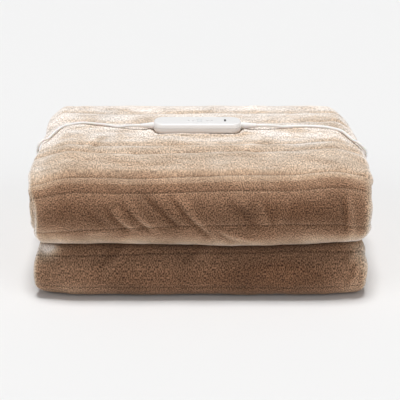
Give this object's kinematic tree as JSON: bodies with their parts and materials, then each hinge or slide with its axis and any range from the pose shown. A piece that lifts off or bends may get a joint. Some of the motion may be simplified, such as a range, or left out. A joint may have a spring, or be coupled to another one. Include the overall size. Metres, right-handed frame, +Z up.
{
  "type": "electric heated blanket",
  "caption": "Folded plush heated blanket with a hard in-line hand controller on top, a lead that plugs into its hem and a coiled mains lead.",
  "frame": {"origin": "middle of the folded cloth's footprint, on the surface that it rests on", "axes": "+X along the front roll to the right, +Y from the front rolls to the back, +Z up through the layers"},
  "size_m": [0.4681, 0.4626, 0.1823],
  "materials": {
    "plush": "short-pile brown plush",
    "housing": "satin white moulded plastic",
    "button": "soft white",
    "window": "pale display window",
    "lamp": "dark lens",
    "cord": "soft white vinyl",
    "blade": "bright"
  },
  "bodies": {
    "throw": {"blanket": "plush", "blanket_socket": "cord", "controller_lower_shell": "housing", "controller_upper_shell": "housing", "display_window": "window", "status_lamp": "lamp", "left_strain_relief": "cord", "right_strain_relief": "cord", "blanket_lead": "cord", "blanket_lead_coil": "cord", "blanket_lead_tail": "cord", "blanket_lead_tie": "cord", "lead_connector": "cord", "mains_lead": "cord", "mains_lead_coil": "cord", "mains_lead_tail": "cord", "mains_lead_tie": "cord", "mains_plug": "cord", "plug_blade_front": "blade", "plug_blade_back": "blade"},
    "power_key": {"power_button": "button"},
    "heat_key": {"heat_button": "button"}
  },
  "joints": [
    {"name": "power_press", "type": "slide", "parent": "throw", "child": "power_key", "axis": [0, 0, -1], "range_m": [0, 0.0008], "stiffness_N_per_m": 1500},
    {"name": "heat_press", "type": "slide", "parent": "throw", "child": "heat_key", "axis": [0, 0, -1], "range_m": [0, 0.0008], "stiffness_N_per_m": 1500}
  ]
}
